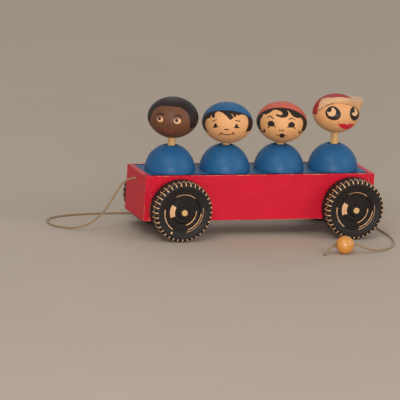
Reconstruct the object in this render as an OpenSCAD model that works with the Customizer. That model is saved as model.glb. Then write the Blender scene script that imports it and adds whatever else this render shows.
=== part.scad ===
// Wooden pull toy: a red wagon with a blue deck, four blue domes and four turned heads on
// neck rods. The front of the toy points to -X and +Z is up. The origin is on the floor,
// under the middle of the toy's box.

/* [Body] */
// Length over the end boards
body_l = 254; // [240:1:300]
// Width over the side boards
body_w = 60; // [56:1:80]
// Height of the boards
body_h = 48; // [46:1:60]
// Floor to the lower edge of the boards
body_bottom = 18; // [16:1:22]
// Thickness of the side and end boards
board_t = 6; // [5:0.5:9]
// Thickness of the deck
deck_t = 6; // [4:0.5:7]
// Side board that shows beside the deck
lip_w = 2.5; // [1:0.5:3.5]

/* [Domes] */
// Diameter of a dome
dome_d = 52.6; // [40:0.2:54]
// Height of a dome
dome_h = 27.5; // [18:0.5:34]

/* [Heads] */
// Diameter of the three bare heads
head_d = 53; // [40:1:53]
// Height of the three bare heads
head_h = 43; // [36:1:50]
// Diameter of the head with the peaked cap
cap_head_d = 50; // [40:1:52]
// Height of the head with the peaked cap
cap_head_h = 41; // [36:1:50]
// Lowered head to dome
seat_gap = 0.5; // [0.4:0.1:2]
// Neck that the head with the cap shows when it is lowered
long_neck = 4; // [0:0.5:8]
// Depth of the rod's hole in a head
socket_depth = 22; // [12:1:30]
// Turn of the capped head's face, from the toy's near side towards its rear
cap_turn = -9; // [-180:1:180]
// Turn of the cap's peak from the face
peak_turn = 56; // [0:1:90]
// How far the peak's round is set off the head's axis
peak_shift = 7; // [4:0.5:8]
// Height of the cap's peak
peak_h = 15; // [10:1:16]
// Head's middle to the lower edge of the peak
peak_low = 0.5; // [0:0.5:3]
// Radius of the peak's round at its upper edge
peak_top_r = 22; // [19:0.5:23]
// Radius of the peak's round at its lower edge
peak_low_r = 17.8; // [16:0.1:18]
// How far the peak's outer edge is tilted up
peak_tilt = 4.5; // [0:0.5:6]
// Tilt of the cap's front edge, back from level
cap_tilt = 54; // [30:1:70]
// Head's axis to the cap's front edge, over the face
cap_front = 18; // [14:0.5:19]
// Head's middle up to the cap's front edge, over the face
cap_rise = 14; // [12:0.5:16]

/* [Neck rods] */
// Diameter of a neck rod
rod_d = 8; // [6:0.5:9]
// Radial clearance of a head on its rod
turn_clear = 0.05; // [0.02:0.01:0.1]
// Clearance of a rod in its slot, on each side
slot_clear = 0.5; // [0.3:0.1:1]
// Rod's end to the bottom of its hole
rod_end_gap = 0.3; // [0.1:0.1:1]

/* [Bobbing gear] */
// Eccentricity of the discs on the axles
throw = 3; // [1:0.5:3]
// Diameter of an eccentric disc
ecc_d = 16; // [15:0.5:17]
// Thickness of a coupling bar
bar_t = 6; // [4:0.5:8]
// Middle of the toy to the inner face of a bar
bar_in = 8; // [8:0.5:9]
// Wood round the eccentric disc in the bar's eye
eye_wall = 2.5; // [2:0.5:2.5]
// How far an eccentric stands past the bar, on each side
ecc_over = 1; // [0.5:0.5:1]
// Radial clearance of a bar on its eccentric
bar_clear = 0.05; // [0.02:0.01:0.1]
// Length of the block that holds a rod
block_l = 16; // [12:1:20]
// Gap between an eccentric's rim and a rod's block
block_over = 1.5; // [1:0.5:2]
// Block's wood on the far side of the rod
block_wall = 2.5; // [1.5:0.5:2.5]
// Raised block to the underside of the deck
block_gap = 1.5; // [0.5:0.5:1.5]

/* [Wheels] */
// Diameter of a wheel
wheel_d = 64; // [60:1:68]
// Width of a wheel
wheel_w = 22; // [12:1:26]
// Diameter of the wooden disc inside the tyre
disc_d = 43; // [38:1:50]
// Diameter of the outer ring step of the disc
outer_step_d = 35; // [26:1:36]
// Diameter of the inner ring step of the disc
inner_step_d = 23; // [16:1:24]
// Diameter of the hub boss
boss_d = 12; // [10:1:14]
// How deep the outer ring lies below the tyre's side
outer_sink = 4; // [2:0.5:5]
// How deep the inner ring lies below the tyre's side
inner_sink = 2.5; // [1:0.5:4]
// How deep the disc's rim lies below the tyre's side
rim_sink = 2; // [1:0.5:3]
// Diameter of an axle
axle_d = 6.35; // [5:0.05:7]
// Radial clearance of an axle in the side boards
axle_clear = 0.075; // [0.03:0.005:0.1]
// Middle of the body to the front axle
front_axle = 91; // [80:0.5:94]
// Middle of the body to the rear axle
rear_axle = 99.5; // [90:0.5:104]
// How far an axle stands out of its wheel
axle_proud = 1.5; // [0.5:0.5:3]
// Diameter of a washer
washer_d = 16; // [10:1:20]
// Thickness of a washer
washer_t = 1.5; // [0.8:0.1:2]
// Play between washer and side board
side_play = 0.3; // [0.2:0.1:1]

/* [Brads] */
// Diameter of a brad
brad_d = 1.4; // [1:0.1:2]
// Length of a brad under its head
brad_l = 18; // [12:1:22]
// Diameter of a brad's head
brad_head_d = 2.6; // [2.2:0.1:4]
// Thickness of a brad's head
brad_head_t = 0.8; // [0.5:0.1:1.2]
// Board's lower or upper edge to a brad
brad_edge = 10; // [6:1:14]

/* [Pull cord] */
// Diameter of the cord
cord_d = 2; // [1.5:0.1:2.4]
// Diameter of the cord's hole in the front board
cord_hole_d = 3; // [2.6:0.1:4]
// Deck's underside to the knot behind the front board
knot_gap = 0.3; // [0.2:0.1:4]
// Diameter of a knot
knot_d = 5; // [4.6:0.1:7]
// Diameter of the bead
bead_d = 19; // [14:0.5:22]
// Diameter of the bead's hole
bead_hole_d = 3.4; // [3:0.1:4.4]
// Cord left past the bead's knot
tail_l = 12; // [8:1:16]

/* [Hidden] */
$fn = 96;
HEADS = 4;
OUTLINE_STEPS = 28;
COLOR_RED = [0.78, 0.12, 0.20];
COLOR_BLUE = [0.17, 0.38, 0.57];
COLOR_SKIN = [0.88, 0.67, 0.47];
COLOR_BROWN = [0.30, 0.18, 0.12];
COLOR_CREAM = [0.90, 0.78, 0.62];
COLOR_WOOD = [0.80, 0.62, 0.40];
COLOR_BLACK = [0.12, 0.11, 0.11];
COLOR_FIBRE = [0.45, 0.25, 0.15];
COLOR_STEEL = [0.55, 0.55, 0.57];
COLOR_CORD = [0.76, 0.66, 0.48];
COLOR_BEAD = [0.85, 0.55, 0.18];

// The rear wheel passes the rear board, so the body stands a little forward of the origin
wheel_r = wheel_d / 2;
body_x = -(rear_axle + wheel_r - body_l / 2) / 2;
front_x = body_x - body_l / 2;
rear_x = body_x + body_l / 2;
inner_l = body_l - 2 * board_t;
body_top = body_bottom + body_h;
deck_low = body_top - deck_t;
deck_w = body_w - 2 * lip_w;
dome_pitch = inner_l / HEADS;
slot_w = rod_d + 2 * slot_clear;
axle_x = [body_x - front_axle, body_x + rear_axle];
wheel_in = body_w / 2 + side_play + washer_t;
axle_l = 2 * (wheel_in + wheel_w + axle_proud);
ecc_r = ecc_d / 2;
ecc_in = bar_in - ecc_over;
ecc_t = bar_t + 2 * ecc_over;
block_low = ecc_r + block_over;
block_top = deck_low - block_gap - wheel_r - throw;
block_h = block_top - block_low;
brad_z = [body_bottom + brad_edge, deck_low - brad_edge];
cord_z = deck_low - knot_gap - knot_d / 2;
bead_r = bead_d / 2;
bead_rim = sqrt(pow(bead_r, 2) - pow(bead_hole_d / 2, 2));
knot_r = knot_d / 2;
bead_at = [64, -112, bead_r];

// Heads 1 and 4 ride the raised bar and heads 2 and 3 the lowered one
function raised(i) = i == 0 || i == HEADS - 1 ? 1 : -1;
function head_x(i) = body_x + (i - (HEADS - 1) / 2) * dome_pitch;
function head_z(i) = body_top + dome_h + seat_gap + (raised(i) + 1) * throw
    + (i == HEADS - 1 ? long_neck : 0);
function eye_z(side) = wheel_r + side * throw;
function rod_low(i) = eye_z(raised(i)) + block_low;
function rod_top(i) = head_z(i) + socket_depth - rod_end_gap;

// The cord's route: out of the front board, down to the floor, behind the toy and round its
// rear to the bead
floor_z = 1.1;
CORD_ROUTE = [
    [front_x, 0, cord_z],
    [front_x - 5, 0, cord_z],
    [-143, 0, 53], [-152, 1, 38], [-162, 3, 21], [-175, 7, 8], [-190, 14, 2],
    [-204, 26, floor_z], [-208, 44, floor_z], [-200, 62, floor_z], [-180, 74, floor_z],
    [-150, 80, floor_z], [-115, 82, floor_z], [-80, 80, floor_z], [-45, 78, floor_z],
    [-10, 79, floor_z], [25, 81, floor_z], [60, 80, floor_z], [92, 75, floor_z],
    [120, 64, floor_z], [136, 44, floor_z], [141, 20, floor_z], [142, -6, floor_z],
    [142, -34, floor_z], [138, -62, floor_z], [128, -86, floor_z], [112, -102, 1.4],
    [96, -110, 3], [84, -112, 7],
    [bead_at[0] + bead_rim + 5, bead_at[1], bead_at[2]],
    [bead_at[0] + bead_rim, bead_at[1], bead_at[2]]
];

// Bits of a swept tube: a smooth line through points and its rings
function smooth_at(p, i, t) =
    let (a = p[max(i - 1, 0)], b = p[i], c = p[i + 1], d = p[min(i + 2, len(p) - 1)])
    0.5 * ((2 * b) + (c - a) * t + (2 * a - 5 * b + 4 * c - d) * t * t
    + (3 * b - a - 3 * c + d) * t * t * t);
function smooth_line(p, parts) = concat(
    [for (i = [0 : len(p) - 2]) for (k = [0 : parts - 1]) smooth_at(p, i, k / parts)],
    [p[len(p) - 1]]);
function unit(v) = v / norm(v);
function heading(line, i) = unit(line[min(i + 1, len(line) - 1)] - line[max(i - 1, 0)]);
function ring(line, i, r, sides) =
    let (t = heading(line, i), s = unit(cross(t, [0, 0, 1])), u = cross(s, t))
    [for (k = [0 : sides - 1])
        line[i] + r * (cos(360 * (k + 0.5) / sides) * s + sin(360 * (k + 0.5) / sides) * u)];

// A round tube along a line of points
module swept_tube(line, d, sides) {
    rings = len(line);
    points = [for (i = [0 : rings - 1]) each ring(line, i, d / 2, sides)];
    walls = [for (i = [0 : rings - 2]) for (k = [0 : sides - 1])
        let (a = i * sides + k, b = i * sides + (k + 1) % sides)
        each [[a, b, b + sides], [a, b + sides, a + sides]]];
    caps = [for (k = [1 : sides - 2]) each [
        [0, k + 1, k],
        [(rings - 1) * sides, (rings - 1) * sides + k, (rings - 1) * sides + k + 1]]];
    polyhedron(points, concat(walls, caps));
}

// A plate in the XZ plane whose drawn outline is thickened from y to y + t
module plate(y, t) {
    translate([0, y + t, 0])
        rotate([90, 0, 0])
            linear_extrude(t)
                children();
}

// A shape drawn along +Z is laid along +Y from y, with its axis through x and z
module across(x, y, z) {
    translate([x, y, z])
        rotate([-90, 0, 0])
            children();
}

// A long hole with round ends for a rod that sways as its bar circles
module rod_slot(i, z, h) {
    translate([head_x(i), 0, z])
        linear_extrude(h)
            union() {
                square([2 * throw, slot_w], center = true);
                for (side = [-1, 1])
                    translate([side * throw, 0])
                        circle(d = slot_w);
            }
}

// Brads along X, two at each corner, with the size given for their holes or for themselves
module corner_brads() {
    for (end = [[front_x, 1], [rear_x, -1]])
        for (y = [-1, 1] * (body_w - board_t) / 2)
            for (z = brad_z)
                translate([end[0], y, z])
                    rotate([0, 90 * end[1], 0])
                        brad();
}

module brad() {
    union() {
        cylinder(d = brad_d, h = brad_l);
        cylinder(d = brad_head_d, h = brad_head_t);
    }
}

// Side board: near side at side = -1, far side at side = 1
module side_board(side) {
    color(COLOR_RED)
        difference() {
            translate([front_x + board_t, side > 0 ? body_w / 2 - board_t : -body_w / 2, body_bottom])
                cube([inner_l, board_t, body_h]);
            translate([front_x, -deck_w / 2, deck_low])
                cube([body_l, deck_w, deck_t + 1]);
            for (x = axle_x)
                across(x, -body_w, wheel_r)
                    cylinder(d = axle_d + 2 * axle_clear, h = 2 * body_w);
            corner_brads();
        }
}

module end_board(x) {
    translate([x, -body_w / 2, body_bottom])
        cube([board_t, body_w, body_h]);
}

module front_board() {
    color(COLOR_RED)
        difference() {
            end_board(front_x);
            translate([front_x - 1, 0, cord_z])
                rotate([0, 90, 0])
                    cylinder(d = cord_hole_d, h = board_t + 2);
            corner_brads();
        }
}

module rear_board() {
    color(COLOR_RED)
        difference() {
            end_board(rear_x - board_t);
            corner_brads();
        }
}

module deck() {
    color(COLOR_BLUE)
        difference() {
            translate([front_x + board_t, -deck_w / 2, deck_low])
                cube([inner_l, deck_w, deck_t]);
            for (i = [0 : HEADS - 1])
                rod_slot(i, deck_low - 1, deck_t + 2);
        }
}

// Dome: half an ellipse turned about its axis, with the rod's slot through it
module dome(i) {
    outline = concat([[0, 0]], [for (k = [0 : OUTLINE_STEPS])
        let (a = 90 * k / OUTLINE_STEPS)
        [k == OUTLINE_STEPS ? 0 : dome_d / 2 * cos(a), dome_h * sin(a)]]);
    color(COLOR_BLUE)
        difference() {
            translate([head_x(i), 0, body_top])
                rotate_extrude()
                    polygon(outline);
            rod_slot(i, body_top - 1, dome_h + 2);
        }
}

// Head's outline: an ellipse above, and a little leaner than an ellipse towards the chin
LEAN = 1.08;
function head_outline(d, h) = [for (k = [0 : OUTLINE_STEPS])
    let (a = -90 + 180 * k / OUTLINE_STEPS, lean = a < 0 ? LEAN : 1)
    [k % OUTLINE_STEPS == 0 ? 0 : d / 2 * pow(cos(a), lean),
     h / 2 * (1 + sign(a) * pow(abs(sin(a)), lean))]];

module turned_head(d, h) {
    rotate_extrude()
        polygon(head_outline(d, h));
}

module head(i, tone) {
    capped = i == HEADS - 1;
    color(tone)
        translate([head_x(i), 0, head_z(i)])
            difference() {
                turned_head(capped ? cap_head_d : head_d, capped ? cap_head_h : head_h);
                translate([0, 0, -1])
                    cylinder(d = rod_d + 2 * turn_clear, h = socket_depth + 1);
            }
}

// The cap's turned-up peak: a flaring round set off to the side of the face, without the head
// and without what lies in front of the cap's tilted front edge. Here the face looks to -Y.
module cap_peak() {
    reach = 2 * cap_head_d;
    color(COLOR_CREAM)
        translate([head_x(HEADS - 1), 0, head_z(HEADS - 1)])
            rotate([0, 0, cap_turn])
                difference() {
                    rotate([0, 0, peak_turn])
                        translate([0, -peak_shift, cap_head_h / 2 + peak_low])
                            rotate([-peak_tilt, 0, 0])
                                cylinder(r1 = peak_low_r, r2 = peak_top_r, h = peak_h);
                    turned_head(cap_head_d, cap_head_h);
                    rotate([0, 0, peak_turn])
                        translate([-reach, -peak_shift / 2, 0])
                            cube([2 * reach, reach, cap_head_h]);
                    translate([0, -cap_front, cap_head_h / 2 + cap_rise])
                        rotate([-cap_tilt, 0, 0])
                            translate([-reach, -reach, -reach])
                                cube([2 * reach, 2 * reach, reach]);
                }
}

module neck_rod(i) {
    color(COLOR_WOOD)
        translate([head_x(i), 0, rod_low(i)])
            cylinder(d = rod_d, h = rod_top(i) - rod_low(i));
}

// Block that holds a rod: glued to its bar's inner face
module rod_block(i) {
    side = raised(i);
    width = bar_in + rod_d / 2 + block_wall;
    color(COLOR_WOOD)
        difference() {
            translate([head_x(i) - block_l / 2, side > 0 ? bar_in - width : -bar_in, rod_low(i)])
                cube([block_l, width, block_h]);
            translate([head_x(i), 0, rod_low(i) - 1])
                cylinder(d = rod_d, h = block_h + 2);
        }
}

// Coupling bar: a flat strip with an eye for each axle's eccentric at its lower corners
module coupling_bar(side) {
    eye_r = ecc_r + eye_wall;
    color(COLOR_WOOD)
        translate([0, 0, eye_z(side)])
            plate(side > 0 ? bar_in : -bar_in - bar_t, bar_t)
                difference() {
                    union() {
                        translate([axle_x[0] - eye_r, 0])
                            square([axle_x[1] - axle_x[0] + 2 * eye_r, block_top]);
                        translate([axle_x[0], -eye_r])
                            square([axle_x[1] - axle_x[0], eye_r]);
                        for (x = axle_x)
                            translate([x, 0])
                                circle(r = eye_r);
                    }
                    for (x = axle_x)
                        translate([x, 0])
                            circle(r = ecc_r + bar_clear);
                }
}

// Eccentric disc: its middle is the throw above the axle at side = 1 and below at side = -1
module eccentric(side, axle) {
    y = side > 0 ? ecc_in : -ecc_in - ecc_t;
    color(COLOR_WOOD)
        difference() {
            across(axle_x[axle], y, eye_z(side))
                cylinder(d = ecc_d, h = ecc_t);
            across(axle_x[axle], y - 1, wheel_r)
                cylinder(d = axle_d, h = ecc_t + 2);
        }
}

module axle(axle) {
    color(COLOR_WOOD)
        across(axle_x[axle], -axle_l / 2, wheel_r)
            cylinder(d = axle_d, h = axle_l);
}

module washer(side, axle) {
    y = side > 0 ? wheel_in - washer_t : -wheel_in;
    color(COLOR_FIBRE)
        difference() {
            across(axle_x[axle], y, wheel_r)
                cylinder(d = washer_d, h = washer_t);
            across(axle_x[axle], y - 1, wheel_r)
                cylinder(d = axle_d, h = washer_t + 2);
        }
}

// Wheel's disc: the same dished face on both sides, stepped in rings from rim to hub boss
module wheel_disc(side, axle) {
    half = wheel_w / 2;
    face = [
        [0, half], [boss_d / 2, half], [boss_d / 2 + 0.8, half - inner_sink],
        [inner_step_d / 2, half - inner_sink], [inner_step_d / 2 + 0.8, half - outer_sink],
        [outer_step_d / 2, half - outer_sink], [outer_step_d / 2 + 1, half - rim_sink],
        [disc_d / 2, half - rim_sink]
    ];
    back = [for (k = [len(face) - 1 : -1 : 0]) [face[k][0], -face[k][1]]];
    color(COLOR_BLACK)
        difference() {
            across(axle_x[axle], side * (wheel_in + half), wheel_r)
                rotate_extrude()
                    polygon(concat(face, back));
            across(axle_x[axle], side * (wheel_in + half) - wheel_w, wheel_r)
                cylinder(d = axle_d, h = 2 * wheel_w);
        }
}

// Tyre: a full round-shouldered section, whose crown is a flattened ellipse
TYRE_POWER = 0.5;
module tyre(side, axle) {
    half = wheel_w / 2;
    middle = (wheel_d + disc_d) / 4;
    reach = wheel_r - middle;
    crown = [for (k = [0 : OUTLINE_STEPS])
        let (a = 90 - 180 * k / OUTLINE_STEPS)
        [middle + reach * pow(cos(a), TYRE_POWER), half * sign(a) * pow(abs(sin(a)), TYRE_POWER)]];
    seat_y = half - rim_sink;
    color(COLOR_BLACK)
        across(axle_x[axle], side * (wheel_in + half), wheel_r)
            rotate_extrude()
                polygon(concat([[disc_d / 2, -seat_y], [disc_d / 2, seat_y]], crown));
}

module pull_cord() {
    color(COLOR_CORD)
        swept_tube(smooth_line(CORD_ROUTE, 2), cord_d, 8);
}

// The knot behind the front board, with the cord that fills the way through the board
module inner_knot() {
    color(COLOR_CORD)
        union() {
            translate([front_x, 0, cord_z])
                rotate([0, 90, 0])
                    cylinder(d = cord_d, h = board_t + knot_r);
            translate([front_x + board_t + knot_r, 0, cord_z])
                sphere(d = knot_d);
        }
}

// Bead: a ball turned with its hole, which lies along X
module pull_bead() {
    mouth = asin(bead_hole_d / bead_d);
    outline = [for (k = [0 : OUTLINE_STEPS])
        let (a = mouth + (180 - 2 * mouth) * k / OUTLINE_STEPS)
        [bead_r * sin(a), bead_r * cos(a)]];
    color(COLOR_BEAD)
        translate(bead_at)
            rotate([0, 90, 0])
                rotate_extrude()
                    polygon(outline);
}

// The cord inside the bead, its stop knot and the short end past it
module bead_knot() {
    knot_at = bead_at - [bead_r + knot_r * 0.8, 0, 0];
    drop = bead_r - floor_z;
    tail = [knot_at, knot_at + [-tail_l * 0.35, -1, -drop * 0.3],
        knot_at + [-tail_l * 0.65, -3, -drop * 0.75], knot_at + [-tail_l, -6, -drop]];
    color(COLOR_CORD)
        union() {
            translate(knot_at)
                sphere(d = knot_d);
            translate(knot_at)
                rotate([0, 90, 0])
                    cylinder(d = cord_d, h = bead_at[0] + bead_rim - knot_at[0]);
            swept_tube(smooth_line(tail, 3), cord_d, 8);
        }
}

side_board(-1);  // side_board_left
side_board(1);  // side_board_right
front_board();
rear_board();
deck();
color(COLOR_STEEL) corner_brads();
for (i = [0 : HEADS - 1]) {
    dome(i);
    neck_rod(i);
    rod_block(i);
    head(i, i == 0 ? COLOR_BROWN : COLOR_SKIN);
}
cap_peak();
coupling_bar(1);  // coupling_bar_outer
coupling_bar(-1);  // coupling_bar_inner
for (a = [0, 1]) {
    end = ["front", "rear"][a];
    axle(a);
    for (side = [-1, 1]) {
        phase = side > 0 ? "outer" : "inner";
        hand = side > 0 ? "right" : "left";
        eccentric(side, a);
        washer(side, a);
        wheel_disc(side, a);
        tyre(side, a);
    }
}
pull_cord();
inner_knot();
pull_bead();
bead_knot();
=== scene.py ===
"""Wooden pull toy: the looks of its boards, domes, heads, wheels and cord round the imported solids.

Shapes are worked out in millimetres and put into their meshes in metres. The toy's front points
to -X, its near side to -Y, and the floor is at z = 0.
"""

import math
from itertools import product

import bmesh
import bpy
import numpy as np
from mathutils import Matrix, Vector


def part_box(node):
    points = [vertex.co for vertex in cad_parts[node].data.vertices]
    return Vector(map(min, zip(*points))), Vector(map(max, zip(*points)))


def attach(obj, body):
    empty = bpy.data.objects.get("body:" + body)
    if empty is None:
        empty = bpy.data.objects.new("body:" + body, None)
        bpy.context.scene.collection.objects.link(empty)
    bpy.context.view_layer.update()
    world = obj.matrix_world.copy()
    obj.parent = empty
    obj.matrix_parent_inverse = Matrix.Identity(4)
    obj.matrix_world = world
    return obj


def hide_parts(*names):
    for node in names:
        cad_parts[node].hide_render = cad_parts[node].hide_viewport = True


bl_info = {
    "name": "Wooden pull toy",
    "version": (1, 0, 0),
    "blender": (4, 5, 0),
    "location": "3D View > Sidebar > Pull toy",
    "description": "Painted boards, domes, heads, wheels and cord of a wooden pull toy",
    "category": "Object",
}

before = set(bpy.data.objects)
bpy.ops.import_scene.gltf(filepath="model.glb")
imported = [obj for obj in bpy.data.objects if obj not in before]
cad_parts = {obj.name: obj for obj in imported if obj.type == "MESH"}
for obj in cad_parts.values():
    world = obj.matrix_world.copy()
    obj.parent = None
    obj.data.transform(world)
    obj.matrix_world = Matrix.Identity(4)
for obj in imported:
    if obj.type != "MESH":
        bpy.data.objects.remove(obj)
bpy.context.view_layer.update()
MM = 0.001
TURN = 2 * math.pi
HEADS = (1, 2, 3, 4)
ENDS = ("front", "rear")
HANDS = ("left", "right")


def srgb(red, green, blue):
    """A screen colour from 0 to 255 in the linear values that shaders use."""
    value = np.array([red, green, blue]) / 255
    return tuple(np.where(value <= 0.04045, value / 12.92, ((value + 0.055) / 1.055) ** 2.4).tolist())


def corners(node):
    """Lowest and highest corner of a solid, in millimetres."""
    low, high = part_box(node)
    return np.array(low) / MM, np.array(high) / MM


def middle(node):
    return sum(corners(node)) / 2


def size(node):
    low, high = corners(node)
    return high - low


# What a user would change


def colour(name, description, red, green, blue):
    return bpy.props.FloatVectorProperty(
        name=name, description=description, subtype="COLOR", min=0, max=1, default=srgb(red, green, blue)
    )


def number(name, description, default, **kind):
    return bpy.props.FloatProperty(name=name, description=description, default=default, **kind)


def length(name, description, default):
    return number(name, description + ", in millimetres", default, min=0)


class ToyColours(bpy.types.PropertyGroup):
    red: colour("Body red", "Paint of the boards", 194, 25, 46)
    blue: colour("Blue", "Paint of the deck, the domes and the second head's cap", 34, 86, 128)
    skin: colour("Skin", "Paint of three of the faces", 212, 154, 102)
    brown: colour("Brown", "Paint of the first head's face", 104, 66, 46)
    brown_line: colour("Brown line", "Nose line of the first head", 70, 42, 30)
    brown_lips: colour("Brown lips", "Paint of the first head's mouth", 150, 74, 62)
    hair: colour("Hair", "Paint of hair, brows and eyes", 38, 29, 26)
    cream: colour("Cream", "Paint of the peaked cap's band and of the marks on the wheels", 216, 167, 124)
    pink_cap: colour("Pink cap", "Paint of the third head's cap", 192, 88, 68)
    red_cap: colour("Red cap", "Crown of the peaked cap", 164, 34, 38)
    lips: colour("Lips", "Paint of the fourth head's lips", 204, 34, 56)
    black: colour("Black", "Paint of the wheel discs", 31, 25, 22)
    rubber: colour("Rubber", "Tyres", 30, 25, 22)
    wood: colour("Bare wood", "Rods, axles and inner gear", 214, 172, 112)
    fibre: colour("Fibre", "Washers", 116, 66, 44)
    steel: colour("Steel", "Corner brads", 150, 146, 140)
    varnish: colour("Bead", "Varnished wood of the bead", 208, 138, 50)
    cotton: colour("Cord", "Cotton of the pull cord", 150, 120, 86)
    floor: colour("Floor", "Floor under the toy", 178, 164, 149)


class ToyFinish(bpy.types.PropertyGroup):
    edge: length("Board edge", "Rounding of the boards' edges", 0.8)
    wear: length("Edge wear", "Width of the rubbed edges", 0.4)
    ribs: bpy.props.IntProperty(
        name="Ribs", description="Tread ribs round a tyre", min=12, max=72, default=36
    )
    rib_width: length("Rib width", "Width of a tread rib", 1.2)
    rib_height: length("Rib height", "Height of a tread rib", 0.55)
    cord: length("Cord", "Diameter of the cord", 2.0)
    cord_pitch: length("Cord pitch", "One turn of the cord's strands", 6.0)
    wood_gap: length("Slot gap", "Gap on each side of a neck rod in its slot", 0.5)


class ToyView(bpy.types.PropertyGroup):
    azimuth: number("Azimuth", "Degrees from a look along +Y", -21.0)
    elevation: number("Elevation", "Degrees above the horizon", 12.0)
    roll: number("Roll", "Turn of the picture in degrees", 3.9)
    distance: number("Distance", "Camera to target", 6.205, unit="LENGTH")
    focus: number("Focal length", "In pixels of the picture", 5937.0)
    target: bpy.props.FloatVectorProperty(
        name="Target",
        description="Point looked at",
        subtype="TRANSLATION",
        unit="LENGTH",
        default=(0.00125, 0, 0.07),
    )
    across: number("Across", "Pixel column of the target", 254.8)
    down: number("Down", "Pixel row of the target", 164.8)


# Meshes from grids of points

MERGE = 1e-6
CREASE = 32.0
BEVEL_FROM = 50.0
BEVEL_STEPS = 3
SOFT_STEPS = 4


def quads(rows, columns, ring):
    """Four corners of each face of a grid. In a ring the last column meets the first one."""
    row, column = np.meshgrid(np.arange(rows - 1), np.arange(columns - (not ring)), indexing="ij")
    here = row * columns + column
    beside = row * columns + (column + 1) % columns
    return np.stack([here, beside, beside + columns, here + columns], axis=-1).reshape(-1, 4)


def make_piece(node, word, rings, material, body, slot, crease=CREASE, sheets=()):
    """Joins grids of points in rows and columns, rings and open sheets, into one piece."""
    points, faces, count = [], [], 0
    for grid, ring in [(grid, True) for grid in rings] + [(grid, False) for grid in sheets]:
        rows, columns = grid.shape[:2]
        points.append(grid.reshape(-1, 3))
        faces.append(quads(rows, columns, ring) + count)
        count += rows * columns
    mesh = bpy.data.meshes.new(node + "_" + word)
    mesh.from_pydata(np.concatenate(points) * MM, [], np.concatenate(faces))
    return stand_for(node, word, mesh, material, body, slot, crease)


def stand_for(node, word, mesh, material, body, slot, crease):
    """Makes a mesh the piece that stands for a solid: merges what meets, turns the faces outwards,
    keeps edges sharper than the crease angle, and hangs it on its body."""
    work = bmesh.new()
    work.from_mesh(mesh)
    bmesh.ops.remove_doubles(work, verts=work.verts, dist=MERGE)
    bmesh.ops.recalc_face_normals(work, faces=work.faces)
    work.to_mesh(mesh)
    work.free()
    mesh.shade_smooth()
    mesh.set_sharp_from_angle(angle=math.radians(crease))
    mesh.materials.clear()
    mesh.materials.append(material)
    piece = bpy.data.objects.new(node + "_" + word, mesh)
    bpy.context.scene.collection.objects.link(piece)
    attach(piece, body)
    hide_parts(node)
    return piece


def keep_solid(node, material):
    """A solid that keeps its shape and gets its finish."""
    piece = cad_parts[node]
    piece.data.materials.clear()
    piece.data.materials.append(material)


def round_edges(piece, width):
    """Rounds a board's sharp edges."""
    bevel = piece.modifiers.new("Rounded edges", "BEVEL")
    bevel.width = width * MM
    bevel.segments = BEVEL_STEPS
    bevel.limit_method = "ANGLE"
    bevel.angle_limit = math.radians(BEVEL_FROM)
    bevel.harden_normals = True


def mesh_points(piece):
    """A piece's own points, in millimetres."""
    points = np.empty(len(piece.data.vertices) * 3)
    piece.data.vertices.foreach_get("co", points)
    return points.reshape(-1, 3) / MM


def set_distance(piece, name, values):
    """Keeps a distance from a paint's edge, in millimetres, at each of a piece's points."""
    layer = piece.data.attributes.new(name, "FLOAT", "POINT")
    layer.data.foreach_set("value", values.astype(np.float32))


def full_turn(columns):
    """Angles once round, so many, evenly."""
    return np.linspace(0, TURN, columns, endpoint=False)


def lathe(profile, centre, axis, turn):
    """A profile of (radius, height) carried round an axis: across it r cos t and r sin t, along it h."""
    radius, height = np.array(profile, float).T[:, :, None]
    one, two = radius * np.cos(turn), radius * np.sin(turn)
    along = height + 0 * turn
    order = {"z": (one, two, along), "y": (one, along, two), "x": (along, one, two)}[axis]
    return np.stack(order, axis=-1) + np.array(centre)


def straight_line(stops, count):
    """Points on the straight lines from stop to stop, so many to a line, without the last stop."""
    share = np.linspace(0, 1, count, endpoint=False)[:, None]
    stops = np.array(stops, float)
    return np.concatenate([a + (b - a) * share for a, b in zip(stops, stops[1:])])


def soften(outline, cut):
    """Each inner corner of an outline becomes a short parabola between points `cut` away from it."""
    outline = [np.array(p, float) for p in outline]
    share = np.linspace(0, 1, SOFT_STEPS + 1)[:, None]
    parts = [outline[0][None]]
    for before, corner, after in zip(outline, outline[1:], outline[2:]):
        back, on = before - corner, after - corner
        start = corner + back * min(cut / np.linalg.norm(back), 0.5)
        end = corner + on * min(cut / np.linalg.norm(on), 0.5)
        parts.append((1 - share) ** 2 * start + 2 * share * (1 - share) * corner + share**2 * end)
    return np.concatenate(parts + [outline[-1][None]])


def fine(profile, step):
    """An outline with extra points, so that none are more than about a step apart."""
    parts = []
    for a, b in zip(profile, profile[1:]):
        count = max(1, int(np.ceil(np.linalg.norm(b - a) / step)))
        parts.append(straight_line([a, b], count))
    return np.concatenate(parts + [profile[-1:]])


def smooth_line(points, steps):
    """A smooth line through points: on each span the cubic whose slopes are half the step between
    the neighbours on both sides."""
    p = np.array(points, float)
    padded = np.concatenate([p[:1], p, p[-1:]])[:, None]
    a, b, c, d = padded[:-3], padded[1:-2], padded[2:-1], padded[3:]
    t = np.linspace(0, 1, steps, endpoint=False)[None, :, None]
    line = b + 0.5 * ((c - a) * t + (2 * a - 5 * b + 4 * c - d) * t**2 + (3 * b - a - 3 * c + d) * t**3)
    return np.concatenate([line.reshape(-1, p.shape[1]), p[-1:]])


# Finishes

# Nearly all of a noise texture's values lie between these
NOISE_RANGE = (0.3, 0.7)
GRAIN = {"x": (0.05, 1, 1), "y": (1, 0.05, 1), "z": (1, 1, 0.05)}
EVEN = (1, 1, 1)
SATIN = {"coat_roughness": 0.2, "specular_ior_level": 0.18}


def tint(value):
    """A colour as a node's input takes it."""
    return value if isinstance(value, bpy.types.NodeSocket) else (*value, 1)


def deeper(colour, red, green, blue):
    """A colour whose three parts are each taken down to a share."""
    return tuple(part * share for part, share in zip(colour, (red, green, blue)))


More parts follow.
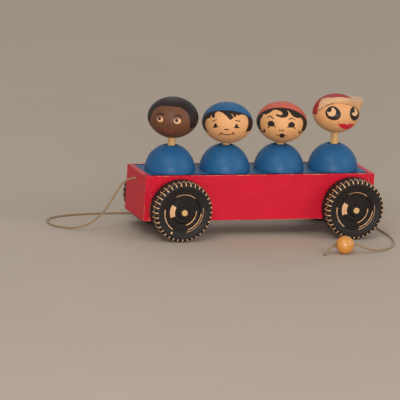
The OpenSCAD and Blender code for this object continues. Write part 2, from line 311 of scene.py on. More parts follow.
class Finish:
    """One material in the making, with short ways to add nodes and join them."""

    def __init__(self, name, **settings):
        self.material = bpy.data.materials.new(name)
        self.material.use_nodes = True
        self.tree = self.material.node_tree
        self.shader = self.tree.nodes["Principled BSDF"]
        for key, value in settings.items():
            self.set(key.replace("_", " ").title().replace("Ior", "IOR"), value)

    def feed(self, socket, value):
        if isinstance(value, bpy.types.NodeSocket):
            self.tree.links.new(value, socket)
        else:
            socket.default_value = value

    def set(self, name, value):
        self.feed(self.shader.inputs[name], value)

    def add(self, kind, inputs, output=0, **settings):
        node = self.tree.nodes.new("ShaderNode" + kind)
        for key, value in settings.items():
            setattr(node, key, value)
        for key, value in inputs.items():
            self.feed(node.inputs[key], value)
        return node.outputs[output]

    def place(self, stretch):
        """Object coordinates, stretched along an axis where its scale is small."""
        where = self.add("TexCoord", {}, "Object")
        return where if stretch == EVEN else self.add("Mapping", {"Vector": where, "Scale": stretch})

    def math(self, operation, *values):
        return self.add("Math", dict(enumerate(values)), operation=operation)

    def vector(self, operation, *values):
        return self.add("VectorMath", dict(enumerate(values)), operation=operation)

    def spread(self, value, low, high, start=0.0, end=1.0, kind="LINEAR"):
        """A value from start to end, spread over the range from low to high."""
        inputs = {"Value": value, 1: start, 2: end, 3: low, 4: high}
        return self.add("MapRange", inputs, interpolation_type=kind)

    def noise(self, waves, low=0.0, high=1.0, stretch=EVEN, detail=3.0):
        """Cloudy noise of so many waves to a metre, spread over the range from low to high."""
        inputs = {"Vector": self.place(stretch), "Scale": waves, "Detail": detail}
        return self.spread(self.add("TexNoise", inputs), low, high, *NOISE_RANGE)

    def bands(self, direction, stretch, waves, distortion, detail, phase=0.0):
        """Bent bands of grain, so many to a metre."""
        inputs = {"Vector": self.place(stretch), "Scale": waves, "Distortion": distortion}
        inputs.update({"Detail": detail, "Phase Offset": phase})
        return self.add("TexWave", inputs, wave_type="BANDS", bands_direction=direction)

    def mix(self, share, first, second):
        """The second colour laid over the first by its share. Inputs 6 and 7 are the colours."""
        return self.add("Mix", {"Factor": share, 6: tint(first), 7: tint(second)}, 2, data_type="RGBA")

    def shade(self, colour, value):
        """A colour made lighter or darker by a varying value near 1."""
        return self.add("HueSaturation", {"Color": tint(colour), "Value": value})

    def brushed(self, colour, lines, clouds, faint):
        """A paint's colour: cloudy, with the lines of the grain showing faintly through it."""
        cloud = self.noise(clouds, 0.94, 1.05)
        return self.shade(colour, self.math("MULTIPLY", cloud, self.spread(lines, faint, 1.02)))

    def cover(self, attribute, ragged, soft, most=1.0):
        """How far a paint covers: fully where its attribute, the distance from its edge, is below
        nought, with a ragged and slightly soft edge, all in millimetres."""
        edge = self.math("ADD", self.add("Attribute", {}, "Fac", attribute_name=attribute), ragged)
        return self.spread(edge, most, 0.0, -soft, soft, "SMOOTHSTEP")

    def done(self, colour, rough=None, bump=None):
        """Joins a colour, and where they vary a roughness and a bump, to the shader. A bump is its
        height, the distance in millimetres and the strength."""
        self.set("Base Color", colour)
        if rough is not None:
            self.set("Roughness", rough)
        if bump is not None:
            height, distance, strength = bump
            inputs = {"Height": height, "Distance": distance * MM, "Strength": strength}
            self.set("Normal", self.add("Bump", inputs))
        return self.material


def edge_distance(finish, node):
    """Distance to the nearest edge of a board's box, in metres: the middle one of the three
    distances to its faces."""
    centred = finish.vector("SUBTRACT", finish.place(EVEN), (middle(node) * MM).tolist())
    outward = finish.vector("ABSOLUTE", centred)
    inward = finish.vector("SUBTRACT", (size(node) / 2 * MM).tolist(), outward)
    x, y, z = finish.add("SeparateXYZ", {0: inward}).node.outputs
    least, most = finish.math("MINIMUM", x, y), finish.math("MAXIMUM", x, y)
    return finish.math("MINIMUM", most, finish.math("MAXIMUM", least, z))


def painted_wood(name, colour, grain, wood, wear=0.0, edges_of=None):
    """Satin paint brushed over wood: faint grain under it, cloudy tone, rubbed edges of bare wood."""
    finish = Finish(name, coat_weight=0.06, **SATIN)
    lines = finish.noise(700, stretch=GRAIN[grain], detail=4)
    tone = finish.brushed(colour, lines, 38, 0.975)
    if edges_of:
        ragged = finish.noise(420, -0.6 * wear * MM, 1.3 * wear * MM, detail=5)
        patches = finish.noise(30, -1.2 * wear * MM, 0.5 * wear * MM)
        near = finish.math("SUBTRACT", edge_distance(finish, edges_of), finish.math("ADD", ragged, patches))
        bare = finish.spread(near, 0.8, 0.0, 0.0, 0.25 * MM)
        tone = finish.mix(bare, tone, finish.shade(wood, finish.spread(lines, 0.8, 1.0)))
        rough = finish.spread(bare, 0.36, 0.6, 0.0, 0.8)
    else:
        rough = finish.noise(160, 0.40, 0.54)
    return finish.done(tone, rough, (lines, 0.06, 0.35))


def layered_paint(name, ground, layers, grain="z"):
    """Paints laid over each other in order, each by its attribute, with hand-painted edges."""
    finish = Finish(name, coat_weight=0.05, **SATIN)
    lines = finish.noise(900, stretch=GRAIN[grain], detail=4)
    waver = finish.noise(330, -0.16, 0.16, detail=2)
    tone, height = ground, finish.math("MULTIPLY", lines, 0.25)
    for attribute, colour in layers.items():
        cover = finish.cover(attribute, waver, 0.12)
        tone = finish.mix(cover, tone, colour)
        height = finish.math("ADD", height, cover)
    tone = finish.brushed(tone, lines, 45, 0.98)
    return finish.done(tone, finish.noise(170, 0.42, 0.56), (height, 0.05, 0.5))


def bare_wood(name, colour, grain):
    """Turned or sawn wood: wavy year lines along the grain, fine pores and a dull face."""
    finish = Finish(name, specular_ior_level=0.35)
    bend = finish.noise(60, 0, 5, stretch=GRAIN[grain])
    wave = finish.bands("DIAGONAL", GRAIN[grain], 260.0, 3.0, 3.0, bend)
    pores = finish.noise(2600, stretch=GRAIN[grain], detail=2)
    tone = finish.mix(finish.spread(wave, 0.05, 0.55), colour, deeper(colour, 0.72, 0.62, 0.50))
    tone = finish.shade(tone, finish.spread(pores, 0.86, 1.05))
    return finish.done(tone, finish.spread(pores, 0.62, 0.48), (pores, 0.08, 0.5))


def varnished(name, colour):
    """Turned wood under a thick yellow varnish: soft rings of grain and a glossy coat."""
    finish = Finish(name, coat_weight=0.7, coat_roughness=0.2, coat_ior=1.5, roughness=0.45)
    wave = finish.bands("Z", (0.15, 1, 1), 80.0, 3.5, 2.0)
    tone = finish.mix(finish.spread(wave, 0.0, 0.28), colour, deeper(colour, 0.72, 0.50, 0.35))
    tone = finish.shade(tone, finish.noise(160, 0.9, 1.06))
    return finish.done(tone, bump=(finish.noise(500, detail=2), 0.03, 0.4))


def rubber(name, colour, highlight_colour):
    """Moulded rubber, dull and dusty, with cream painted highlights on what stands out of the tread."""
    finish = Finish(name, specular_ior_level=0.25)
    dust = finish.noise(240, detail=5)
    # Cream painted highlights where the tread's ribs and studs stand out
    cover = finish.cover("tread", finish.noise(900, -0.25, 0.35, detail=4), 0.1, 0.95)
    tone = finish.mix(cover, finish.shade(colour, finish.spread(dust, 0.85, 1.35)), highlight_colour)
    return finish.done(tone, finish.spread(dust, 0.5, 0.68), (finish.noise(3000, detail=2), 0.03, 0.5))


def cotton(name, colour):
    """Spun cotton: fine fibres along the strands and darker, dirtier stretches."""
    finish = Finish(name, roughness=0.9, specular_ior_level=0.15, sheen_weight=0.25, sheen_roughness=0.5)
    tone = finish.shade(colour, finish.noise(5200, 0.78, 1.08, detail=2))
    tone = finish.shade(tone, finish.noise(70, 0.84, 1.06))
    return finish.done(tone, bump=(finish.noise(5200, detail=2), 0.06, 0.7))


def stained(name, colour, tone, rough=None, **settings):
    """One colour, made lighter and darker and more or less rough by noise."""
    finish = Finish(name, **settings)
    rough = finish.noise(*rough) if rough else None
    return finish.done(finish.shade(colour, finish.noise(*tone)), rough)


# Boards: planks with drilled holes

PLANK_STEPS = 12
AXLE_HOLE = 0.075
AXLE_CELL = 16.0
CORD_HOLE = 1.5
DECK_EDGE = 0.6


def long_round(angle, half, radius):
    """Outline with round ends by its outward direction: the end's circle, moved out by half the flat."""
    c, s = np.cos(angle), np.sin(angle)
    return np.stack([np.sign(c) * half + radius * c, radius * s], axis=-1)


def level(face, depth):
    """A flat grid of points at one depth."""
    return np.concatenate([face, np.full(face.shape[:2] + (1,), float(depth))], axis=-1)


def wall(outline, depth):
    """The outline at both depths, as two rows."""
    return np.concatenate([level(outline[None], w) for w in depth])


def plank(cuts, height, depth, holes):
    """Rings and sheets of a plank, which runs along its first axis in cells between the cuts. A
    cell with a hole is filled by straight lines from the hole's outline to the cell's border,
    another one by a plain sheet. Walls join both faces round the holes and round the plank."""
    rings, sheets = [], []
    low, high = height
    share = np.linspace(0, 1, PLANK_STEPS + 1)
    for left, right, hole in zip(cuts, cuts[1:], holes):
        if hole is None:
            u, v = np.meshgrid(left + (right - left) * share, low + (high - low) * share, indexing="ij")
            sheets += [level(np.stack([u, v], axis=-1), w) for w in depth]
            continue
        centre, half, radius = hole
        border = [(left, low), (right, low), (right, high), (left, high), (left, low)]
        outer = straight_line(border, PLANK_STEPS)
        angle = np.arctan2(*(outer - centre).T[::-1])
        rim = long_round(angle, half, radius) + centre
        face = rim + (outer - rim) * share[:, None, None]
        rings += [level(face, w) for w in depth] + [wall(rim, depth)]
    stops = [(cut, low) for cut in cuts] + [(cut, high) for cut in cuts[::-1]] + [(cuts[0], low)]
    return rings + [wall(straight_line(stops, PLANK_STEPS), depth)], sheets


def slot_shape():
    """Half flat and radius of a neck rod's slot: the eccentric's throw, and the rod with its gap."""
    throw = middle("eccentric_front_outer")[2] - middle("axle_front")[2]
    rod = size("neck_rod_1")[0] / 2
    return throw, rod + bpy.context.scene.toy_finish.wood_gap


class TOY_OT_boards(bpy.types.Operator):
    """Side, front and rear boards and the deck, with their holes and rounded, rubbed edges"""

    bl_idname = "toy.boards"
    bl_label = "Boards and deck"

    def execute(self, context):
        paint, finish = context.scene.toy_colours, context.scene.toy_finish
        axles = [middle("axle_" + end) for end in ENDS]
        cells = [axle[0] + side * AXLE_CELL for axle in axles for side in (-1, 1)]
        radius = size("axle_front")[0] / 2 + AXLE_HOLE
        front, rear = [(axle[[0, 2]], 0.0, radius) for axle in axles]
        drilled = [None, front, None, rear, None]
        cord = (np.array(CORD_ROUTE[0][1:]), 0.0, CORD_HOLE)
        boards = {
            "side_board_left": ("xzy", drilled, cells),
            "side_board_right": ("xzy", drilled, cells),
            "front_board": ("yzx", [cord], []),
            "rear_board": ("yzx", [None], []),
        }
        for node, (along, holes, cuts) in boards.items():
            look = painted_wood("paint_" + node, paint.red, along[0], paint.wood, finish.wear, node)
            self.make(node, along, holes, cuts, look, "red_paint", finish.edge)
        centres = [middle("dome_%d" % k)[:2] for k in HEADS]
        half_pitch = (centres[1][0] - centres[0][0]) / 2
        cells = [centre[0] + half_pitch for centre in centres[:-1]]
        slots = [(centre, *slot_shape()) for centre in centres]
        look = painted_wood("paint_deck", paint.blue, "x", paint.wood)
        self.make("deck", "xyz", slots, cells, look, "blue_paint", DECK_EDGE * finish.edge)
        return {"FINISHED"}

    def make(self, node, along, holes, cuts, look, slot, edge):
        """A board of its solid's size. `along` names its long, high and thick axes."""
        low, high = corners(node)
        long, tall, thick = ("xyz".index(c) for c in along)
        cuts = [low[long], *cuts, high[long]]
        grids = plank(cuts, (low[tall], high[tall]), (low[thick], high[thick]), holes)
        order = [along.index(c) for c in "xyz"]
        rings, sheets = ([grid[..., order] for grid in part] for part in grids)
        piece = make_piece(node, "painted", rings, look, "wagon", slot, sheets=sheets)
        round_edges(piece, edge)


BRAD_HEAD = 1.3
BRAD_HEAD_DEPTH = 0.8
BRAD_PROUD = 0.25
BRAD_SHANK = 0.7
BRAD_LENGTH = 18.0
BRAD_TIP = 2.0


class TOY_OT_brads(bpy.types.Operator):
    """Heads and shanks of the brads that hold the corners"""

    bl_idname = "toy.brads"
    bl_label = "Corner brads"

    def execute(self, context):
        low, high = corners("corner_brads")
        profile = np.array([
            (0, -BRAD_PROUD),
            (0.6 * BRAD_HEAD, -0.8 * BRAD_PROUD),
            (BRAD_HEAD, 0),
            (BRAD_HEAD, BRAD_HEAD_DEPTH),
            (BRAD_SHANK, BRAD_HEAD_DEPTH),
            (BRAD_SHANK, BRAD_LENGTH - BRAD_TIP),
            (0, BRAD_LENGTH),
        ])
        ends = ((low[0], 1), (high[0], -1))
        sides = (low[1] + BRAD_HEAD, high[1] - BRAD_HEAD)
        heights = (low[2] + BRAD_HEAD, high[2] - BRAD_HEAD)
        rings = []
        for (x, sense), y, z in product(ends, sides, heights):
            rings.append(lathe(profile * (1, sense), (x, y, z), "x", full_turn(16)))
        steel = context.scene.toy_colours.steel
        look = stained("steel", steel, (900, 0.7, 1.05), (1400, 0.35, 0.6), metallic=1.0)
        make_piece("corner_brads", "driven", rings, look, "wagon", "brad_steel")
        return {"FINISHED"}


# Domes

DOME_ROWS = 56
DOME_COLUMNS = 144
RIM_ROUND = 0.7
FOOT_ROUND = 0.35


def dome_grid(node):
    """Half an ellipse turned about its axis, with a long slot: rings slide from the slot's outline
    to the base circle, each as high as the ellipse is at its own radius. The ring list goes up the
    slot's wall, over its rounded rim, down the dome and back along the underside."""
    low, high = corners(node)
    centre = (low + high) / 2
    radius = (high - low)[0] / 2
    half, slot_radius = slot_shape()
    turn = full_turn(DOME_COLUMNS)
    base = radius * np.stack([np.cos(turn), np.sin(turn)], axis=-1)
    rise = (high - low)[2] / np.sqrt(1 - (slot_radius / radius) ** 2)

    def ring(share, grow=0.0, drop=0.0, height=None):
        hole = long_round(turn, half, slot_radius + grow)
        plan = hole + (base - hole) * share
        over = np.sqrt(np.clip(1 - (plan**2).sum(-1) / radius**2, 0, 1)) * rise - drop
        z = over if height is None else np.full(len(turn), height)
        return np.concatenate([plan, z[:, None]], axis=-1)

    rings = [ring(0, height=0.0), ring(0, drop=RIM_ROUND)]
    for lean in np.radians([30, 60]):
        rings.append(ring(0, RIM_ROUND * (1 - math.cos(lean)), RIM_ROUND * (1 - math.sin(lean))))
    shares = np.sin(np.linspace(0, math.pi / 2, DOME_ROWS)[:-1])
    rings += [ring(share, RIM_ROUND * (1 - share)) for share in shares]
    rings += [ring(1.0, height=FOOT_ROUND), ring(1.0 - FOOT_ROUND / radius, height=0.0), rings[0]]
    return np.array(rings) + np.array([centre[0], centre[1], low[2]])


class TOY_OT_domes(bpy.types.Operator):
    """The four blue domes that the heads stand on"""

    bl_idname = "toy.domes"
    bl_label = "Domes"

    def execute(self, context):
        paint = context.scene.toy_colours
        look = painted_wood("paint_domes", paint.blue, "x", paint.wood)
        for k in HEADS:
            node = "dome_%d" % k
            make_piece(node, "painted", [dome_grid(node)], look, "wagon", "blue_paint")
        return {"FINISHED"}


# Heads: turned shapes with painted faces

HEAD_HEIGHT = {1: 43.0, 2: 43.0, 3: 43.0, 4: 41.0}
SOCKET_DEPTH = 22.0
SOCKET_RADIUS = 4.05
SOCKET_LIP = (0.3, 0.45)
CHIN_LEAN = 1.08
HEAD_ROWS = 180
HEAD_COLUMNS = 320
HEAD_RADIUS = 26.5
STROKE_STEPS = 6
FAR = 1e9
# Where faces look, and the one cap that is askew, as the azimuth of someone who looks straight at them
FACE_TURN = {1: -30.0, 2: -21.0, 3: -21.0, 4: -21.0}
CAP_TURN = {4: -9.0}


def head_profile(radius, height):
    """Socket, chin and crown: an ellipse above, and below it cosine and sine to a power that draws
    the chin in."""
    low = -math.acos(((SOCKET_RADIUS + SOCKET_LIP[0]) / radius) ** (1 / CHIN_LEAN))
    a = np.linspace(low, math.pi / 2, HEAD_ROWS)
    power = np.where(a < 0, CHIN_LEAN, 1.0)
    r = radius * np.cos(a) ** power
    z = height / 2 * (1 + np.sign(a) * np.abs(np.sin(a)) ** power)
    r[-1] = 0
    socket = [[0, SOCKET_DEPTH], [SOCKET_RADIUS, SOCKET_DEPTH], [SOCKET_RADIUS, z[0] + SOCKET_LIP[1]]]
    return np.concatenate([socket, np.stack([r, z], axis=-1)])


def face_turns(azimuth):
    """Angles round the head, close together at the face: a straight line plus a cube."""
    u = np.linspace(-1, 1, HEAD_COLUMNS, endpoint=False)
    return math.radians(azimuth - 90) + math.pi * (0.45 * u + 0.55 * u**3)


def facing(x, y, azimuth):
    """How far points lie across and towards someone who looks from an azimuth."""
    c, s = math.cos(math.radians(azimuth)), math.sin(math.radians(azimuth))
    return x * c + y * s, x * s - y * c


def all_of(*parts):
    """Distance from the nearest of some painted parts."""
    return np.minimum.reduce(parts)


def mirrored(points):
    return [(-x, z) for x, z in points]


def ovals(a, z, *rows):
    """Distance from ovals, each with its middle, half sizes and tilt in degrees, as if it were a
    circle stretched: below nought inside."""
    parts = []
    for x0, z0, wide, high, tilt in rows:
        c, s = math.cos(math.radians(tilt)), math.sin(math.radians(tilt))
        x, y = a - x0, z - z0
        parts.append((np.hypot((c * x + s * y) / wide, (c * y - s * x) / high) - 1) * min(wide, high))
    return all_of(*parts)


def line_distance(a, z, points):
    """Distance from a line through points."""
    best = np.full(a.shape, FAR)
    for (x0, y0), (x1, y1) in zip(points, points[1:]):
        dx, dy = x1 - x0, y1 - y0
        share = np.clip(((a - x0) * dx + (z - y0) * dy) / (dx * dx + dy * dy), 0, 1)
        best = np.minimum(best, np.hypot(a - x0 - share * dx, z - y0 - share * dy))
    return best


def strokes(a, z, *rows):
    """Distance from brush lines, each a width and its points, smooth where they are more than two."""
    parts = []
    for width, points in rows:
        line = smooth_line(points, STROKE_STEPS) if len(points) > 2 else points
        parts.append(line_distance(a, z, line) - width / 2)
    return all_of(*parts)


def patch(a, z, points):
    """Distance from a closed outline: below nought where a ray from the point crosses it an odd
    number of times."""
    loop = list(points) + [points[0]]
    inside = np.zeros(a.shape, bool)
    for (x0, y0), (x1, y1) in zip(loop, loop[1:]):
        if y0 != y1:
            inside ^= ((y0 > z) != (y1 > z)) & (a < (x1 - x0) * (z - y0) / (y1 - y0) + x0)
    return line_distance(a, z, loop) * np.where(inside, -1, 1)


def hair(a, z, window, nape, curl, waves, lean):
    """Hair covers what is outside the face's window and above the nape's line, which has small
    curls, each the hump of a sine, and leans by one sine round the head."""
    line = nape + curl * np.abs(np.sin(a * waves)) + lean * np.sin(a / HEAD_RADIUS)
    return np.maximum(-patch(a, z, window), line - z)


# Each face gives the distances from its paints' edges over the way round the head, the height above
# its underside and the way forwards, all in millimetres


def face_one(a, z, forward):
    """Short hair, brows, eyes and a small smile."""
    side = [(16, 35.4), (21.5, 31.5), (23.4, 25), (24.6, 19.5), (26, 15.5)]
    outline = mirrored(side)[::-1] + [(-8, 36.6), (8, 36.6)] + side
    window = smooth_line(outline, STROKE_STEPS).tolist() + [[26, -9], [-26, -9]]
    brow = [(5.6, 28.0), (9.6, 29.2), (13.6, 27.6)]
    return {
        "hair": hair(a, z, window, 13.5, 0.8, 0.45, 0),
        "brow": strokes(a, z, (1.3, brow), (1.3, mirrored(brow))),
        "white": ovals(a, z, (-9.4, 23.2, 3.7, 2.9, 0), (9.4, 23.2, 3.7, 2.9, 0)),
        "eye": ovals(a, z, (-10.3, 23.9, 1.75, 1.85, 0), (8.5, 23.9, 1.75, 1.85, 0)),
        "nose": strokes(a, z, (0.9, [(-1.7, 18.3), (0, 17.6), (1.7, 18.3)])),
        "mouth": strokes(a, z, (1.3, [(-5.6, 12.8), (-3, 11.3), (0, 10.8), (3, 11.3), (5.6, 12.8)])),
    }


def face_two(a, z, forward):
    """Blue skullcap, parted black hair, three-cornered eyes and a smile with turned-down ticks. The
    cap's edge is a plane that climbs forwards and hardly falls behind."""
    window = [
        (-23.3, 13.7), (-25.3, 15.3), (-26.7, 17.7), (-27.5, 21.2), (-27.5, 24.3), (-26.2, 26.5),
        (-23.8, 27.9), (-21.2, 28.8), (-21.9, 31), (-21.2, 31.9), (-20.1, 30.7), (-18.7, 29.4),
        (-16.8, 29.4), (-15.8, 30.2), (-15.9, 31.7), (-17.3, 33.4), (-16.8, 35), (-15, 35.9),
        (-11.9, 36.1), (-8.1, 35.6), (-4.5, 34.4), (-1.9, 33.2), (-0.1, 31.8), (1.6, 30.4), (3.5, 29.3),
        (5, 30.1), (6.4, 31.3), (7.1, 32), (6.1, 33.5), (4.9, 34.9), (5.5, 35.1), (7.2, 33.7),
        (8.1, 31.9), (9.1, 32.4), (11, 33.1), (11, 34.3), (12, 34.6), (12.5, 33.6), (14.2, 33.8),
        (18.6, 34.1), (22.3, 33.8), (25.5, 32.8), (27, 31.3), (27.2, 29.4), (26.8, 27.2), (26.2, 25),
        (25.2, 22.5), (24.2, 20.2), (23.6, 16.9), (23.6, -9), (-23.3, -9),
    ]
    left_eye = [
        (-16.5, 19.2), (-14.6, 21.2), (-14.1, 23), (-13.4, 24.5), (-12.6, 24.9), (-11.6, 24.4),
        (-10.8, 23.3), (-10.1, 22), (-8.1, 20.8), (-10.4, 20.7), (-12.3, 19.8), (-14.2, 19.9),
    ]
    right_eye = [
        (6.9, 21.5), (8.4, 23), (8.8, 24.5), (9.4, 25.5), (10.2, 25.9), (11, 25.4), (11.6, 24.4),
        (12.2, 23), (14.5, 21.2), (12.4, 21.5), (10.4, 20.8), (8.7, 21.6),
    ]
    left_tick = [
        (-9.3, 11.6), (-7.4, 13.9), (-5.6, 15.9), (-5.1, 15.3), (-4.4, 13.4), (-5.8, 13.9),
        (-7.0, 12.9),
    ]
    right_tick = [
        (5.7, 14.3), (6.4, 16.8), (7.0, 16.8), (8.2, 15.4), (10.1, 13.7), (8.2, 13.9), (7.0, 14.9),
    ]
    lines = [
        (1.0, [(-16.9, 25.7), (-14.7, 27.3), (-12.3, 28.3)]),
        (1.0, [(8.9, 29.3), (11.5, 28.7), (14.7, 28.0)]),
        (1.3, [(-2.3, 19.1), (-0.1, 19.6), (2.1, 19.5)]),
        (1.0, [(-5, 14.0), (-2.4, 13.6), (0.8, 13.6), (3.8, 14.0), (6.0, 14.8)]),
    ]
    patches = [patch(a, z, points) for points in (left_eye, right_eye, left_tick, right_tick)]
    return {
        "hair": hair(a, z, window, 14.3, 0.9, 0.4, 1.3),
        "cap": 0.78 * (38 + 0.79 * (np.maximum(forward, 0.15 * forward) - 17) - z),
        "features": all_of(strokes(a, z, *lines), *patches),
    }


def face_three(a, z, forward):
    """Pink skullcap, a curl on the brow, round eyes with lashes and a small mouth. The eyes are
    ovals cut off below, and two hooks of hair end on the cheeks."""
    window = [
        (-25, 16.1), (-25.7, 16.4), (-26.1, 18.8), (-26.5, 22.6), (-27.3, 25.4), (-26.8, 26.9),
        (-25.3, 28.6), (-25.2, 30), (-27.1, 30.9), (-24.4, 31.4), (-20.6, 32.2), (-18, 33.5),
        (-15.8, 35.1), (-14.5, 36.9), (-11.5, 37.5), (-6.9, 37.3), (-3, 36.6), (-0.2, 35.7),
        (0.5, 34.8), (-0.3, 33.5), (-2.2, 33.2), (-4.7, 33.6), (-7.6, 34), (-8.4, 33.3), (-7.2, 32.4),
        (-4.4, 31.5), (-1.4, 31.0), (1.8, 31), (5, 31.6), (7.1, 32.9), (8.4, 34.5), (8.6, 36.1),
        (7.7, 37.4), (8.0, 37.7), (10.3, 36.1), (12.1, 34.3), (13.9, 32.4), (15.4, 31.5), (19, 30.4),
        (22.5, 30.2), (25.1, 30.4), (26.1, 28.5), (27, 26.3), (27, 24.2), (25.9, 22), (25.7, 19),
        (25.3, 16.4), (25.3, -9), (-25, -9),
    ]
    left_eye = np.maximum(ovals(a, z, (-11.4, 23.7, 4.2, 3.3, 0)), 21.0 + 0.1 * (a + 11.4) - z)
    right_eye = np.maximum(ovals(a, z, (10.8, 23.9, 3.9, 3.3, 0)), 21.3 - z)
    lines = [
        (1.0, [(-17.3, 29.1), (-15.9, 30.6), (-14.6, 30.9), (-12.2, 30.3), (-9.7, 29.2)]),
        (1.0, [(8.2, 29.6), (10.1, 30.4), (12.2, 30.7), (13.8, 30), (15.5, 29.1)]),
        (0.9, [(-15.2, 18.9), (-13.6, 20.3), (-12.6, 21.2)]),
        (0.9, [(-9.6, 21.8), (-8.1, 21.8), (-6.0, 21.2)]),
        (0.9, [(6.3, 21.0), (7.6, 22.0), (8.8, 22.4)]),
        (0.9, [(12.8, 22.3), (13.9, 21.4), (15.4, 19.8)]),
        (0.7, [(-5.4, 12.0), (-1.0, 11.8)]),
        (0.7, [(3.8, 11.8), (7.5, 11.8)]),
    ]
    spots = ovals(a, z, (-1.4, 17.9, 0.75, 0.95, 0), (1.5, 17.9, 0.75, 0.95, 0), (1.4, 11.7, 3.3, 2.7, 0))
    hooks = [
        (1.9, [(-28.8, 15.3), (-26.9, 13.4), (-22.8, 13.2), (-20.2, 14.7), (-20.3, 16.3)]),
        (1.6, [(29, 16.5), (27.3, 14.6), (24.4, 14.3), (22.1, 15.4), (21.7, 17.0)]),
    ]
    return {
        "hair": all_of(hair(a, z, window, 14.6, 0.9, 0.4, 0.5), strokes(a, z, *hooks)),
        "cap": 0.6 * (39.6 + 1.42 * (np.maximum(forward, 0.1 * forward + 3) - 13.9) - z),
        "features": all_of(left_eye, right_eye, strokes(a, z, *lines), spots),
    }


def face_four(a, z, forward):
    """Peaked cap with a cream band, wide dark eyes that look up to the side, and full red lips. The
    band ends in an arch over the brow, which passes into a plane round the back, and the crown
    lies outside a window drawn over the way up the head's side."""
    plane = 0.6 * (np.maximum(34.5 + 1.4 * (forward - 18.3), 10 + 0.1 * forward) - z)
    arch = 0.8 * (np.maximum(35.0 - 12.5 * (np.abs(a - 7) / 31.3) ** 3.1, 11.0) - z)
    share = np.clip((18 - a) / 14, 0, 1) * np.clip((a + 45) / 12, 0, 1)
    band = arch * share + plane * (1 - share)
    left = [
        (-24.3, -12), (-24.3, 2.3), (-23.7, 6.3), (-24.9, 10), (-27.9, 14.4), (-30.5, 18), (-31, 21.3),
        (-24.9, 24.1),
    ]
    window = left + [(-8.5, 27.2), (3.9, 28.4), (16.8, 28.4)] + [(11 - x, y) for x, y in left[::-1]]
    over = 23.5 * np.arcsin(np.clip(z / 20.5 - 1, -1, 1))
    crown = np.maximum(-patch(a, over, window), 19 + 0.2 * forward - z)
    lips = [
        (2.0, 14.7), (5.4, 14.2), (8, 14.0), (9.9, 14.5), (12.2, 13.7), (14.7, 12.5), (16.1, 13.9),
        (17.8, 14.3), (20.6, 12.9), (22.9, 13.0), (27.6, 12.6), (26, 9.8), (24.6, 7.6), (19.9, 6.7),
        (13.1, 7.5), (8, 9.1), (4.4, 11.6),
    ]
    return {
        "band": band,
        "band_edge": np.abs(band) - 0.35,
        "crown": crown,
        "crown_edge": np.abs(crown) - 0.3,
        "eye": ovals(a, z, (-3.8, 24.8, 8.7, 7.0, -14), (23.4, 23.8, 8.4, 7.0, -14)),
        "white": ovals(a, z, (-5.5, 26.0, 4.9, 4.3, 0), (23.4, 25.7, 5.0, 3.9, 0)),
        "pupil": ovals(a, z, (-8.4, 28.2, 2.8, 2.5, 0), (20.3, 28.0, 3.3, 2.5, 0)),
        "lips": patch(a, z, lips),
    }


FACES = {1: face_one, 2: face_two, 3: face_three, 4: face_four}


class TOY_OT_heads(bpy.types.Operator):
    """The four turned heads with their painted hair, caps and faces"""

    bl_idname = "toy.heads"
    bl_label = "Heads"

    def execute(self, context):
        paint = context.scene.toy_colours
        dark, cream = paint.hair, paint.cream
        layers = {
            1: {"hair": dark, "white": cream, "eye": dark, "brow": dark, "nose": paint.brown_line,
                "mouth": paint.brown_lips},
            2: {"hair": dark, "cap": paint.blue, "features": dark},
            3: {"hair": dark, "cap": paint.pink_cap, "features": dark},
            4: {"band": cream, "crown": paint.red_cap, "band_edge": dark, "crown_edge": dark, "eye": dark,
                "white": cream, "pupil": dark, "lips": paint.lips},
        }
        for k in HEADS:
            ground, slot = (paint.brown, "brown_face_paint") if k == 1 else (paint.skin, "face_paint")
            self.make(k, layered_paint("paint_head_%d" % k, ground, layers[k]), slot)
        return {"FINISHED"}

    def make(self, k, look, slot):
        """Turns a head, and draws its paints over the way round from the middle of its face and the
        height above its underside."""
        node = "head_%d" % k
        high = corners(node)[1]
        axis = np.array([*middle(node)[:2], high[2] - HEAD_HEIGHT[k]])
        radius = size(node)[0] / 2
        grid = lathe(head_profile(radius, HEAD_HEIGHT[k]), axis, "z", face_turns(FACE_TURN[k]))
        piece = make_piece(node, "painted", [grid], look, "rider_%d" % k, slot)
        x, y, z = (mesh_points(piece) - axis).T
        a = radius * np.arctan2(*facing(x, y, FACE_TURN[k]))
        forward = facing(x, y, CAP_TURN.get(k, FACE_TURN[k]))[1]
        for name, distance in FACES[k](a, z, forward).items():
            set_distance(piece, name, distance)


class TOY_OT_peak(bpy.types.Operator):
    """The cap's turned-up peak, glued to the side of the fourth head"""

    bl_idname = "toy.peak"
    bl_label = "Cap peak"

    def execute(self, context):
        paint = context.scene.toy_colours
        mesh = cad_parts["cap_peak"].data.copy()
        look = painted_wood("paint_peak", paint.cream, "z", paint.wood)
        stand_for("cap_peak", "painted", mesh, look, "rider_4", "cream_paint", 30)
        return {"FINISHED"}


# Wheels

TYRE_POWER = 0.5
TYRE_ROWS = 60
SIDE_ROWS = 8
SECTION_STEPS = 2001
COLUMNS_TO_A_RIB = 12
RIB_FOOT = 28.3
RIB_SLOPE = 0.3
STUD = 0.8
STUD_AT = 6.3
# Outboard of this, from the tread's middle, the ribs and studs carry painted highlights
PAINT_FROM = 1.2
# Radius, angle in degrees and half size of the dot on one tyre
TYRE_DOT = (24.6, 239.5, 1.15)
DOT_FROM = 8.0
BOSS = 6.0
INNER_STEP = 11.5
OUTER_STEP = 17.5
STEP_SLOPES = (0.8, 0.8, 1.0)
STEP_ROUND = 0.6
DISC_SINK = {"rim": 2.0, "outer": 4.0, "inner": 2.5}
FACE_STEP = 0.2
BACK_STEP = 2.0
DISC_COLUMNS = 400
# Painted highlights on the discs' faces: radius, start, end and width of each thin arc, and both radii,
# start and end of the broad patch
DISC_HIGHLIGHT_ARCS = [
    (18.6, 52, 118, 0.75),
    (20.8, 172, 236, 0.8),
    (14.4, -74, 2, 0.85),
    (21.5, -77, 12, 0.85),
    (19.1, -73, -4, 0.7),
]
DISC_HIGHLIGHT_PATCH = (9.7, 14.6, 148, 204)


